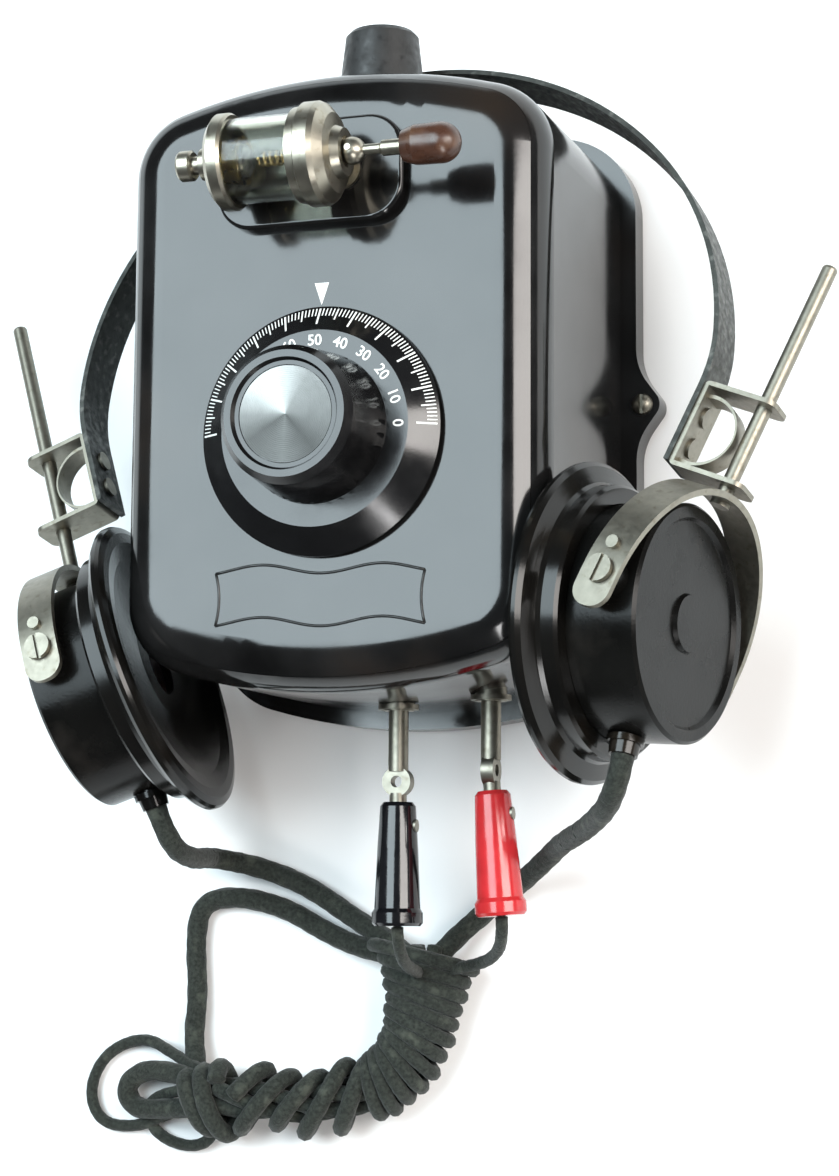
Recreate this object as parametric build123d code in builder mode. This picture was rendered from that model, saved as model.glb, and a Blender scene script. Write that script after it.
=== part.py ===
"""Crystal radio set in a moulded case, lying on its back, with its head telephones around it.

Frame: +X to the right of the set, +Y towards its top end, +Z out of the front face.
The origin is the middle of the back cover's rear face, which rests on the surface.
All sizes are in millimetres.
"""
from build123d import *
from math import asin, cos, degrees, pi, radians, sin, sqrt, tan
import os

os.makedirs("parts", exist_ok=True)

# ---- case ----
CASE_W = 85.0
CASE_HALF_H = 60.0
CASE_TOP_Z = 64.0
ARCH_R = 115.0
OUTLINE_R = 14.0
FRONT_R = 9.0
WALL = 2.6
FLANGE_OUT = 3.2
COVER_T = 3.0
FLANGE_TOP = 6.0
EAR_Y = 2.0
EAR_SCREW_X = CASE_W / 2 + 4.4
EAR_SWEEP_R = 12.0

# ---- dial and knob ----
DIAL_Y = -11.5
DIAL_R = 23.75
DIAL_FLAT_R = 18.6
KNOB_BASE_R = 14.4
KNOB_TOP_R = 12.6
SKIRT_H = 4.8
KNOB_H = 20.0
SHAFT_R = 3.0

# ---- detector ----
SEAT = (-2.3, 38.3)
SEAT_SIZE = (37.5, 20.5)
SEAT_H = 3.0
DET_Y = 38.0
DET_Z = CASE_TOP_Z + 14.0
DET_PIN_X = (-14.6, 4.4)
GLASS_R = 8.0

# ---- sockets and plugs ----
PHONE_X = (3.5, 22.5)
PHONE_Z = 30.0
AERIAL_Z = 33.0
PIN_R = 2.0
NUT_R = 4.0
NUT_INSIDE = 6.6
RED_LEAN = 4.5

# ---- headset plane: it leans back over the case's top and is turned a little ----
HEAD_O = Vector(2.0, 0, 33.0)
HEAD_N = Vector(-0.10, 0.235, 1.0).normalized()
HEAD_X = Vector(1, 0, 0.10).normalized()
HEAD_Y = HEAD_N.cross(HEAD_X)
PIVOT_S = 60.6
PIVOT_T = -51.3
LEAN = radians(21.9)
BAND_TOP = 71.5
BAND_ARCS = ((72.0, 50.0), (60.0, 40.0), (30.0, 21.9))
BAND_TAIL = 15.8
BAND_W = 10.0
BAND_T = 1.0

# ---- rods, clips, forks and receivers, in the rod's own frame ----
ROD_R = 1.5
ROD_TOP = {-1: 82.0, 1: 77.0}
REACH = {-1: 8.3, 1: -2.1}
FORK_R = 25.2
FORK_T = 1.2
FORK_W = 7.4
FORK_FOOT = 7.0
CLIP_T = 0.9
CLIP_W = 9.0
CLIP_LOW = 30.0
CLIP_HIGH = 47.6
RIVET_UP = (35.2, 41.6)
LEAF_T = 0.35
SHELL_R = 22.0
SHELL_END = 5.4
SHELL_RIM = -12.0
SHELL_T = 1.8
CAP_R = 30.0
CAP_FACE = -16.2
POLE_TIP = SHELL_RIM + 0.5
SWIVEL = {-1: radians(4.7), 1: radians(6.6)}
TILT = {-1: 0.0, 1: radians(16.8)}
SIDES = {-1: "left", 1: "right"}

# ---- cords ----
CORD_R = 2.1
LEAD_R = 1.2
BUNDLE_R = 6.6
GLAND_OUT = -3.5
GLAND_TURN = {-1: radians(20.0), 1: 0.0}
GLAND_END = 3.6


def save(builder, name):
    """Label a finished piece and write its file."""
    builder.part.label = name
    export_step(builder.part, f"parts/{name}.step")


def case_outline(grow):
    """Arched outline of the case, grown outwards by a distance."""
    half = CASE_W / 2 + grow
    radius = ARCH_R + grow
    top = CASE_HALF_H + grow
    shoulder = top - radius + sqrt(radius ** 2 - half ** 2)
    with BuildSketch(mode=Mode.PRIVATE) as sketch:
        with BuildLine():
            l1 = ThreePointArc((-half, shoulder), (0, top), (half, shoulder))
            l2 = Line(l1 @ 1, (half, -shoulder))
            l3 = ThreePointArc(l2 @ 1, (0, -top), (-half, -shoulder))
            Line(l3 @ 1, l1 @ 0)
        make_face()
        fillet(sketch.vertices(), max(OUTLINE_R + grow, 1.0))
    return sketch.sketch


def rear_outline():
    """Outline of the rear flange and of the back cover, with an ear at each side."""
    with BuildSketch(mode=Mode.PRIVATE) as sketch:
        add(case_outline(FLANGE_OUT))
        for side in (-1, 1):
            with BuildSketch(mode=Mode.PRIVATE) as ear:
                with BuildLine():
                    Polyline(
                        (side * (CASE_W / 2), EAR_Y - 9.5),
                        (side * (CASE_W / 2 + FLANGE_OUT), EAR_Y - 7.6),
                        (side * (EAR_SCREW_X + 4.4), EAR_Y),
                        (side * (CASE_W / 2 + FLANGE_OUT), EAR_Y + 7.6),
                        (side * (CASE_W / 2), EAR_Y + 9.5),
                        close=True,
                    )
                make_face()
                tip = ear.vertices().sort_by(Axis.X)[-1 if side > 0 else 0]
                fillet(tip, 3.2)
            add(ear.sketch)
        inner_corners = [corner for corner in sketch.vertices()
                         if abs(abs(corner.X) - CASE_W / 2 - FLANGE_OUT) < 0.01 and abs(corner.Y - EAR_Y) < 8]
        fillet(inner_corners, EAR_SWEEP_R)
    return sketch.sketch


def tube(points, radius):
    """Cord solid along straight runs joined by the largest tangent arcs that fit."""
    corners = [Vector(*p) for p in points]
    radii = []
    for before, here, after in zip(corners, corners[1:], corners[2:]):
        turn = radians((here - before).get_angle(after - here))
        run = min((here - before).length, (after - here).length)
        radii.append(0.45 * run / tan(turn / 2))
    path = FilletPolyline(*corners, radius=radii)
    with BuildPart() as cord:
        with BuildSketch(Plane(origin=path @ 0, z_dir=path % 0)):
            Circle(radius)
        sweep(path=path)
    section = pi * radius ** 2 * path.length
    print(f"cord: length {path.length:.1f}, least radius {min(radii):.1f}, radii",
          [round(r, 1) for r in radii], f"volume ratio {cord.part.volume / section:.4f}")
    return cord


# =====================================================================  case
with BuildPart() as case_shell:
    with BuildSketch(Plane.XY.offset(COVER_T)):
        add(case_outline(0))
    extrude(amount=CASE_TOP_Z - COVER_T)
    fillet(case_shell.faces().sort_by(Axis.Z)[-1].edges(), FRONT_R)
    with BuildSketch(Plane.XY.offset(COVER_T)):
        add(rear_outline())
    extrude(amount=FLANGE_TOP - COVER_T)
    with BuildSketch(Plane.XY.offset(CASE_TOP_Z - 1)) as seat:
        with Locations(SEAT):
            RectangleRounded(*SEAT_SIZE, 7.0)
    extrude(amount=SEAT_H + 1)
    fillet(case_shell.faces().sort_by(Axis.Z)[-1].edges(), 0.8)
    with BuildSketch(Plane.XY.offset(COVER_T)):
        add(case_outline(-WALL))
    extrude(amount=CASE_TOP_Z - COVER_T - WALL, mode=Mode.SUBTRACT)
    with Locations((0, DIAL_Y, CASE_TOP_Z)):
        Hole(5.0, depth=8)
    with Locations(*[(x, DET_Y, CASE_TOP_Z + SEAT_H) for x in DET_PIN_X]):
        Hole(3.0, depth=9)
    with Locations(*[Plane(origin=(x, -CASE_HALF_H - 2, PHONE_Z), z_dir=(0, -1, 0)) for x in PHONE_X]):
        Hole(3.2, depth=8)
    with Locations(Plane(origin=(0, CASE_HALF_H + 2, AERIAL_Z), z_dir=(0, 1, 0))):
        Hole(3.2, depth=8)
    with Locations(*[(side * EAR_SCREW_X, EAR_Y, FLANGE_TOP) for side in (-1, 1)]):
        Hole(1.25, depth=FLANGE_TOP - COVER_T)
save(case_shell, "case_shell")

with BuildPart() as back_cover:
    with BuildSketch(Plane.XY):
        add(rear_outline())
    extrude(amount=COVER_T)
    with BuildSketch(Plane.XY.offset(COVER_T)):
        add(case_outline(-WALL - 0.2))
    extrude(amount=1.6)
    with BuildSketch(Plane.XY.offset(COVER_T)):
        add(case_outline(-WALL - 3.0))
    extrude(amount=1.6, mode=Mode.SUBTRACT)
    with Locations(*[(side * EAR_SCREW_X, EAR_Y, COVER_T) for side in (-1, 1)]):
        Hole(1.2, depth=COVER_T - 0.6)
save(back_cover, "back_cover")

with BuildPart() as case_screws:
    for ear_side in (-1, 1):
        with Locations((ear_side * EAR_SCREW_X, EAR_Y, 1.0)):
            Cylinder(1.2, FLANGE_TOP - 1.0, align=(Align.CENTER, Align.CENTER, Align.MIN))
        with BuildSketch(Plane(origin=(ear_side * EAR_SCREW_X, EAR_Y, FLANGE_TOP), x_dir=(1, 0, 0),
                               z_dir=(0, -1, 0))):
            with BuildLine():
                Polyline((0, 1.7), (0, 0), (2.2, 0))
                ThreePointArc((2.2, 0), (1.5, 1.25), (0, 1.7))
            make_face()
        revolve(axis=Axis((ear_side * EAR_SCREW_X, EAR_Y, 0), (0, 0, 1)))
        with Locations((ear_side * EAR_SCREW_X, EAR_Y, FLANGE_TOP + 1.5)):
            Box(0.7, 6, 1.6, mode=Mode.SUBTRACT)
save(case_screws, "case_screws")

# =====================================================================  sockets
with BuildPart() as detector_sockets:
    for pin_x in DET_PIN_X:
        with BuildSketch(Plane.XY.offset(CASE_TOP_Z + SEAT_H - 20.0)):
            with Locations((pin_x, DET_Y)):
                Circle(2.95)
        extrude(amount=20.0)
        with BuildSketch(Plane.XY.offset(CASE_TOP_Z + SEAT_H)):
            with Locations((pin_x, DET_Y)):
                Circle(3.9)
        extrude(amount=0.8)
        with BuildSketch(Plane.XY.offset(CASE_TOP_Z + SEAT_H - 18.0)):
            with Locations((pin_x, DET_Y)):
                Circle(PIN_R + 0.05)
        extrude(amount=20.0, mode=Mode.SUBTRACT)
save(detector_sockets, "detector_sockets")


def arch_y(x):
    """Height of the case's arched end wall at a distance from the middle line."""
    return CASE_HALF_H - ARCH_R + sqrt(ARCH_R ** 2 - x ** 2)


PHONE_PLANES = [Plane(origin=(x, -arch_y(x - NUT_R) - 0.1, PHONE_Z), x_dir=(1, 0, 0), z_dir=(0, -1, 0))
                for x in PHONE_X]
AERIAL_PLANE = Plane(origin=(0, CASE_HALF_H + 0.2, AERIAL_Z), x_dir=(1, 0, 0), z_dir=(0, 1, 0))
SOCKET_DEPTH = 18.0

with BuildPart() as panel_sockets:
    for socket_plane in (*PHONE_PLANES, AERIAL_PLANE):
        with BuildSketch(socket_plane.offset(-SOCKET_DEPTH)):
            Circle(3.1)
        extrude(amount=SOCKET_DEPTH + 1.2)
        with BuildSketch(socket_plane.offset(-SOCKET_DEPTH + 1.5)):
            Circle(PIN_R + 0.05)
        extrude(amount=SOCKET_DEPTH + 2, mode=Mode.SUBTRACT)
save(panel_sockets, "panel_sockets")

with BuildPart() as socket_nuts:
    for socket_plane in (*PHONE_PLANES, AERIAL_PLANE):
        with BuildSketch(socket_plane):
            Circle(NUT_R)
            Circle(3.1, mode=Mode.SUBTRACT)
        extrude(amount=1.0)
        with BuildSketch(socket_plane.offset(-NUT_INSIDE)):
            RegularPolygon(5.0, 6)
            Circle(3.1, mode=Mode.SUBTRACT)
        extrude(amount=2.0)
save(socket_nuts, "socket_nuts")

# top plug: a cap on one pin, pulled out along +Y
PLUG_GAP = 1.4
PLUG_CAP_LENGTH = 15.4
with BuildPart() as aerial_plug_pin:
    with BuildSketch(AERIAL_PLANE.offset(-14.0)):
        Circle(PIN_R)
    extrude(amount=14.0 + PLUG_GAP + 4)
save(aerial_plug_pin, "aerial_plug_pin")

with BuildPart() as aerial_plug_cap:
    with BuildSketch(Plane(origin=AERIAL_PLANE.origin, x_dir=(1, 0, 0), z_dir=(0, 0, 1))):
        with BuildLine():
            dome = JernArc((0, PLUG_GAP + PLUG_CAP_LENGTH), (1, 0), 21.0, -18)
            Polyline(dome @ 1, (7.4, PLUG_GAP + PLUG_CAP_LENGTH - 2), (8.9, PLUG_GAP), (PIN_R, PLUG_GAP),
                     (PIN_R, PLUG_GAP + 4), (0, PLUG_GAP + 4), (0, PLUG_GAP + PLUG_CAP_LENGTH))
        make_face()
    revolve(axis=Axis(AERIAL_PLANE.origin, (0, 1, 0)))
save(aerial_plug_cap, "aerial_plug_cap")

# =====================================================================  tuning
DIAL_AXIS = Axis((0, DIAL_Y, 0), (0, 0, 1))
DIAL_SECTION = Plane(origin=(0, DIAL_Y, CASE_TOP_Z), x_dir=(1, 0, 0), z_dir=(0, -1, 0))

with BuildPart() as tuning_bush:
    with BuildSketch(DIAL_SECTION):
        with BuildLine():
            Polyline(
                (SHAFT_R + 0.05, -9), (4.9, -9), (4.9, -WALL - 2.4), (8, -WALL - 2.4), (8, -WALL),
                (4.9, -WALL), (4.9, 0), (7, 0), (7, 1.0), (SHAFT_R + 0.05, 1.0), close=True,
            )
        make_face()
    revolve(axis=DIAL_AXIS)
save(tuning_bush, "tuning_bush")

FRAME_TOP = CASE_TOP_Z - WALL - 6.6
with BuildPart() as tuning_shaft:
    with BuildSketch(Plane.XY.offset(FRAME_TOP - 22)):
        with Locations((0, DIAL_Y)):
            Circle(SHAFT_R)
    extrude(amount=22 + 6.6 + WALL + 15)
save(tuning_shaft, "tuning_shaft")

KNOB_BOTTOM = 0.7
FLUTES = 36
with BuildPart() as tuning_knob:
    with BuildSketch(DIAL_SECTION):
        with BuildLine():
            Polyline(
                (SHAFT_R, 1.6), (8, 1.6), (8, KNOB_BOTTOM), (DIAL_R, KNOB_BOTTOM), (DIAL_R, KNOB_BOTTOM + 0.8),
                (DIAL_FLAT_R, SKIRT_H), (KNOB_BASE_R, SKIRT_H), (KNOB_TOP_R + 0.3, KNOB_H - 1.6),
                (KNOB_TOP_R - 0.9, KNOB_H), (10.4, KNOB_H), (9.9, KNOB_H - 0.9), (9.1, KNOB_H - 0.9),
                (9.1, KNOB_H - 1.8), (SHAFT_R, KNOB_H - 1.8), close=True,
            )
        make_face()
    revolve(axis=DIAL_AXIS)
    with BuildSketch(Plane.XY.offset(CASE_TOP_Z + SKIRT_H + 0.6)):
        with Locations((0, DIAL_Y)):
            with PolarLocations(KNOB_BASE_R + 0.15, FLUTES):
                Circle(0.55)
    extrude(amount=KNOB_H - SKIRT_H - 3.4, mode=Mode.SUBTRACT)
save(tuning_knob, "tuning_knob")

with BuildPart() as knob_disc:
    with BuildSketch(Plane.XY.offset(CASE_TOP_Z + KNOB_H - 1.7)):
        with Locations((0, DIAL_Y)):
            Circle(8.95)
    extrude(amount=0.7)
save(knob_disc, "knob_disc")

# variable condenser behind the dial: fixed vanes in a frame, half-round vanes on the shaft
VANES = 5
VANE_STEP = 3.2
with BuildPart() as condenser_frame:
    with BuildSketch(Plane.XY.offset(FRAME_TOP)):
        with Locations((0, DIAL_Y)):
            RectangleRounded(52, 46, 4)
            Circle(SHAFT_R + 0.3, mode=Mode.SUBTRACT)
            Circle(8.3, mode=Mode.SUBTRACT)
    extrude(amount=1.6)
    with BuildSketch(Plane.XY.offset(FRAME_TOP - VANES * VANE_STEP - 3)):
        with Locations((0, DIAL_Y)):
            with GridLocations(46, 40, 2, 2):
                Circle(1.8)
    extrude(amount=VANES * VANE_STEP + 3)
    for vane in range(VANES):
        with BuildSketch(Plane.XY.offset(FRAME_TOP - 3.2 - vane * VANE_STEP)):
            with Locations((0, DIAL_Y + 11)):
                Rectangle(46, 22)
            with Locations((0, DIAL_Y)):
                Circle(SHAFT_R + 4.0, mode=Mode.SUBTRACT)
        extrude(amount=0.6)
save(condenser_frame, "condenser_frame")

with BuildPart() as condenser_rotor:
    for vane in range(VANES - 1):
        with BuildSketch(Plane.XY.offset(FRAME_TOP - 4.8 - vane * VANE_STEP)):
            with Locations((0, DIAL_Y)):
                with BuildLine():
                    CenterArc((0, 0), 17, 0, 180)
                    Line((-17, 0), (17, 0))
                make_face()
                Circle(SHAFT_R + 2.2)
        extrude(amount=0.6)
    with BuildSketch(Plane.XY.offset(FRAME_TOP - 4.8 - (VANES - 2) * VANE_STEP)):
        with Locations((0, DIAL_Y)):
            Circle(SHAFT_R + 2.2)
    extrude(amount=(VANES - 2) * VANE_STEP + 0.6)
    with BuildSketch(Plane.XY):
        with Locations((0, DIAL_Y)):
            Circle(SHAFT_R)
    extrude(amount=CASE_TOP_Z, mode=Mode.SUBTRACT)
save(condenser_rotor, "condenser_rotor")

COIL_R = 22.0
with BuildPart() as coil_former:
    with BuildSketch(Plane.XY.offset(COVER_T)):
        with Locations((0, DIAL_Y)):
            Circle(COIL_R)
            Circle(COIL_R - 1.2, mode=Mode.SUBTRACT)
    extrude(amount=27.6)
save(coil_former, "coil_former")

with BuildPart() as coil_winding:
    with BuildSketch(Plane.XY.offset(9)):
        with Locations((0, DIAL_Y)):
            Circle(COIL_R + 1.0)
            Circle(COIL_R, mode=Mode.SUBTRACT)
    extrude(amount=17)
save(coil_winding, "coil_winding")

# =====================================================================  detector
DET_SECTION = Plane(origin=(0, DET_Y, DET_Z), x_dir=(1, 0, 0), z_dir=(0, -1, 0))
DET_AXIS = Axis((0, DET_Y, DET_Z), (1, 0, 0))
LEFT_CAP = (-16.6, -12.4)
RIGHT_CAP = (0.4, 9.4)
BALL_X = 10.6
BALL_R = 2.6


def det_section(points):
    """Half section of a piece turned about the detector's long axis, from (x, radius) corners."""
    with BuildSketch(DET_SECTION) as half:
        with BuildLine():
            Polyline(*points, close=True)
        make_face()
    return half.sketch


with BuildPart() as detector_cap_left:
    revolve(det_section([
        (LEFT_CAP[0], 1.75), (LEFT_CAP[0] - 2.6, 1.75), (LEFT_CAP[0] - 2.6, 3.0), (LEFT_CAP[0] - 0.8, 3.2),
        (LEFT_CAP[0] - 0.4, 5.6), (LEFT_CAP[0] + 0.6, 8.0), (LEFT_CAP[0] + 1.6, 9.1), (LEFT_CAP[1] - 0.6, 9.1),
        (LEFT_CAP[1], 8.7), (LEFT_CAP[1], GLASS_R), (LEFT_CAP[0] + 2.0, GLASS_R), (LEFT_CAP[0] + 2.0, 1.75),
    ]), axis=DET_AXIS)
    with BuildSketch(Plane(origin=(DET_PIN_X[0], DET_Y, DET_Z - 8.2), z_dir=(0, 0, -1))):
        Circle(2.6)
    extrude(amount=DET_Z - 8.2 - CASE_TOP_Z - SEAT_H - 1.0)
save(detector_cap_left, "detector_cap_left")

with BuildPart() as detector_cap_right:
    revolve(det_section([
        (RIGHT_CAP[0], GLASS_R), (RIGHT_CAP[0], 8.9), (RIGHT_CAP[0] + 1.6, 9.0), (RIGHT_CAP[0] + 2.0, 9.7),
        (RIGHT_CAP[0] + 4.6, 9.7), (RIGHT_CAP[0] + 5.6, 9.2), (RIGHT_CAP[0] + 7.0, 7.4),
        (RIGHT_CAP[0] + 7.4, 5.0), (RIGHT_CAP[1], 4.4), (RIGHT_CAP[1], BALL_R + 0.35),
        (RIGHT_CAP[0] + 5.4, 1.9), (RIGHT_CAP[0] + 5.0, 6.4), (RIGHT_CAP[0] + 3.6, GLASS_R),
    ]), axis=DET_AXIS)
    with BuildSketch(Plane(origin=(DET_PIN_X[1], DET_Y, DET_Z - 8.4), z_dir=(0, 0, -1))):
        Circle(2.6)
    extrude(amount=DET_Z - 8.4 - CASE_TOP_Z - SEAT_H - 1.0)
    with Locations((BALL_X, DET_Y, DET_Z)):
        Sphere(BALL_R + 0.06, mode=Mode.SUBTRACT)
save(detector_cap_right, "detector_cap_right")

with BuildPart() as detector_glass:
    revolve(det_section([
        (LEFT_CAP[0] + 2.0, GLASS_R - 1.2), (LEFT_CAP[0] + 2.0, GLASS_R), (RIGHT_CAP[0] + 3.6, GLASS_R),
        (RIGHT_CAP[0] + 3.6, GLASS_R - 1.2),
    ]), axis=DET_AXIS)
save(detector_glass, "detector_glass")

PIN_DEPTH = 15.0
with BuildPart() as detector_pins:
    for pin_x in DET_PIN_X:
        with BuildSketch(Plane.XY.offset(CASE_TOP_Z + SEAT_H - PIN_DEPTH)):
            with Locations((pin_x, DET_Y)):
                Circle(PIN_R)
        extrude(amount=PIN_DEPTH + 1.0)
save(detector_pins, "detector_pins")

CUP_FACE = -10.6
with BuildPart() as crystal_screw:
    revolve(det_section([
        (-23.9, 0), (-23.9, 2.6), (-23.5, 2.9), (-21.4, 2.9), (-21.0, 2.5), (-21.0, 1.7), (-14.4, 1.7),
        (-14.4, 0),
    ]), axis=DET_AXIS)
save(crystal_screw, "crystal_screw")

with BuildPart() as crystal_cup:
    revolve(det_section([
        (-14.4, 0), (-14.4, 4.0), (CUP_FACE, 4.6), (CUP_FACE, 3.6), (CUP_FACE - 2.0, 3.4), (CUP_FACE - 2.0, 0),
    ]), axis=DET_AXIS)
save(crystal_cup, "crystal_cup")

with BuildPart() as crystal:
    revolve(det_section([
        (CUP_FACE - 2.0, 0), (CUP_FACE - 2.0, 3.3), (CUP_FACE + 0.6, 3.0), (CUP_FACE + 1.5, 1.6),
        (CUP_FACE + 1.5, 0),
    ]), axis=DET_AXIS)
save(crystal, "crystal")

BALL_BORE = 1.05
PIVOT_PIP_R, PIVOT_PIP_PROUD = 0.6, 0.3
with BuildPart() as swivel_ball:
    with BuildSketch(DET_SECTION):
        with BuildLine():
            mouth_angle = degrees(asin(BALL_BORE / BALL_R))
            round_side = CenterArc((BALL_X, 0), BALL_R, mouth_angle, 180 - 2 * mouth_angle)
            Line(round_side @ 0, round_side @ 1)
        make_face()
    revolve(axis=DET_AXIS)
    with Locations((BALL_X, DET_Y, DET_Z - BALL_R), (BALL_X, DET_Y, DET_Z + BALL_R)):
        Cylinder(PIVOT_PIP_R, 2 * PIVOT_PIP_PROUD)
save(swivel_ball, "swivel_ball")

ROD_INNER = -2.6
WHISKER_ROD_R = 1.0
HANDLE = (20.6, 31.6)
HANDLE_R = 3.8
SOCKET_END = HANDLE[0] + 6
with BuildPart() as whisker_rod:
    revolve(det_section([
        (ROD_INNER, 0), (ROD_INNER, WHISKER_ROD_R), (HANDLE[0] - 4.4, WHISKER_ROD_R), (HANDLE[0] - 4.0, 1.5),
        (HANDLE[0], 1.5), (HANDLE[0], WHISKER_ROD_R), (SOCKET_END, WHISKER_ROD_R), (SOCKET_END, 0),
    ]), axis=DET_AXIS)
save(whisker_rod, "whisker_rod")

with BuildPart() as whisker_handle:
    with BuildSketch(DET_SECTION):
        with BuildLine():
            nose = JernArc((HANDLE[1], 0), (0, 1), HANDLE_R, 90)
            Polyline(nose @ 1, (HANDLE[0] + 2.4, 3.7), (HANDLE[0], 2.9), (HANDLE[0], WHISKER_ROD_R),
                     (SOCKET_END, WHISKER_ROD_R), (SOCKET_END, 0), (HANDLE[1], 0))
        make_face()
    revolve(axis=DET_AXIS)
save(whisker_handle, "whisker_handle")

SPRING_TURNS = 5
SPRING_PITCH = 1.2
SPRING_R = 1.25
WIRE_R = 0.25
with BuildPart() as cat_whisker:
    spring = Helix(pitch=SPRING_PITCH, height=SPRING_PITCH * SPRING_TURNS, radius=SPRING_R,
                   center=(ROD_INNER + 1.1 - SPRING_PITCH * SPRING_TURNS, DET_Y, DET_Z), direction=(1, 0, 0))
    with BuildSketch(Plane(origin=spring @ 0, z_dir=spring % 0)):
        Circle(WIRE_R)
    sweep(path=spring, is_frenet=True)
save(cat_whisker, "cat_whisker")

# =====================================================================  headset
HEAD_PLANE = Plane(origin=HEAD_O, x_dir=HEAD_X, z_dir=HEAD_N)


def band_edge(offset):
    """One edge of the right half of the headband, as a chain of tangent arcs and its straight tail."""
    first = JernArc((0, BAND_TOP + offset), (1, 0), BAND_ARCS[0][0] + offset, -BAND_ARCS[0][1])
    second = JernArc(first @ 1, first % 1, BAND_ARCS[1][0] + offset, -BAND_ARCS[1][1])
    third = JernArc(second @ 1, second % 1, BAND_ARCS[2][0] + offset, -BAND_ARCS[2][1])
    tail = Line(third @ 1, third @ 1 + (third % 1) * BAND_TAIL)
    return [first, second, third, tail]


band_middle = band_edge(0)[2] @ 1
BAND_OUT = (band_middle.X - PIVOT_S) * cos(LEAN) - (band_middle.Y - PIVOT_T) * sin(LEAN)
CLIP_OUT = BAND_OUT + BAND_T / 2


def side_axes(side):
    """Clip origin, upward rod direction and outward direction of one side of the headset."""
    origin = HEAD_O + HEAD_X * (side * PIVOT_S) + HEAD_Y * PIVOT_T
    up = HEAD_X * (side * sin(LEAN)) + HEAD_Y * cos(LEAN)
    out = HEAD_X * (side * cos(LEAN)) - HEAD_Y * sin(LEAN)
    return origin, up, out


def cup_axes(side):
    """Receiver pivot, its upward direction, its outward axis and the pivot screws' direction."""
    origin, up, out = side_axes(side)
    swivelled = out * cos(SWIVEL[side]) + HEAD_N * sin(SWIVEL[side])
    outward = swivelled * cos(TILT[side]) + up * sin(TILT[side])
    upward = up * cos(TILT[side]) - swivelled * sin(TILT[side])
    return origin - up * REACH[side], upward, outward, upward.cross(outward)


def rod_plane(side):
    """Plane through one rod, with x outwards and y up the rod."""
    origin, up, out = side_axes(side)
    return Plane(origin=origin, x_dir=out, z_dir=out.cross(up))


def rivet_planes(out_offset):
    """Planes of the four clip rivets at a distance outwards from the rods' axes."""
    planes = []
    for side in SIDES:
        origin, up, out = side_axes(side)
        planes += [Plane(origin=origin + up * height + out * out_offset, z_dir=out) for height in RIVET_UP]
    return planes


with BuildPart() as headband:
    with BuildSketch(HEAD_PLANE):
        with BuildLine():
            outer_edge = band_edge(BAND_T / 2)
            inner_edge = band_edge(-BAND_T / 2)
            end_edge = Line(outer_edge[-1] @ 1, inner_edge[-1] @ 1)
            half_band = outer_edge + inner_edge + [end_edge]
            add(half_band)
            mirror(half_band, about=Plane.YZ)
        make_face()
    extrude(amount=BAND_W / 2, both=True)
    with Locations(*rivet_planes(0)):
        Hole(1.1, depth=12)
save(headband, "headband")

with BuildPart() as rod_clips:
    for side in SIDES:
        origin, up, out = side_axes(side)
        with BuildPart(mode=Mode.PRIVATE) as clip:
            with BuildSketch(rod_plane(side)):
                with BuildLine():
                    Polyline(
                        (CLIP_OUT, CLIP_LOW), (4.4, CLIP_LOW), (4.4, CLIP_LOW + CLIP_T),
                        (CLIP_OUT + CLIP_T, CLIP_LOW + CLIP_T), (CLIP_OUT + CLIP_T, CLIP_HIGH - CLIP_T),
                        (3.4, CLIP_HIGH - CLIP_T), (3.4, CLIP_HIGH), (CLIP_OUT, CLIP_HIGH), close=True,
                    )
                make_face()
            extrude(amount=CLIP_W / 2, both=True)
            ear_ends = [edge for edge in clip.edges()
                        if abs(edge.length - CLIP_T) < 1e-4 and (edge.center() - origin).dot(out) > 3]
            fillet(ear_ends, 2.2)
            bends = [edge for edge in clip.edges()
                     if abs(edge.length - CLIP_W) < 1e-4 and abs((edge.center() - origin).dot(out) - CLIP_OUT) < 1e-4]
            fillet(bends, 1.1)
            with Locations(Plane(origin=origin + up * (CLIP_HIGH + 1), z_dir=up)):
                Hole(ROD_R + 0.06, depth=CLIP_HIGH - CLIP_LOW + 2)
            with Locations(*rivet_planes(0)):
                Hole(1.1, depth=12)
        add(clip.part)
save(rod_clips, "rod_clips")

with BuildPart() as clip_rivets:
    for height_out, radius, length in (
        (BAND_OUT - BAND_T / 2 - 0.6, 2.0, 0.6),
        (BAND_OUT - BAND_T / 2, 1.1, BAND_T + CLIP_T),
        (CLIP_OUT + CLIP_T, 2.0, 0.6),
    ):
        for rivet_plane in rivet_planes(height_out):
            with BuildSketch(rivet_plane):
                Circle(radius)
            extrude(amount=length)
save(clip_rivets, "clip_rivets")

LEAF_MIDDLE = 38.4
with BuildPart() as leaf_springs:
    for side in SIDES:
        with BuildSketch(rod_plane(side)):
            with BuildLine():
                foot = CLIP_OUT + CLIP_T
                belly = -ROD_R - 0.3
                arc_out = ThreePointArc((foot, 45.6), (belly, LEAF_MIDDLE), (foot, 31.4))
                arc_in = ThreePointArc((foot, 44.8), (belly - LEAF_T, LEAF_MIDDLE), (foot, 32.2))
                Line(arc_out @ 0, arc_in @ 0)
                Line(arc_out @ 1, arc_in @ 1)
            make_face()
        extrude(amount=2.6, both=True)
save(leaf_springs, "leaf_springs")

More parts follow.
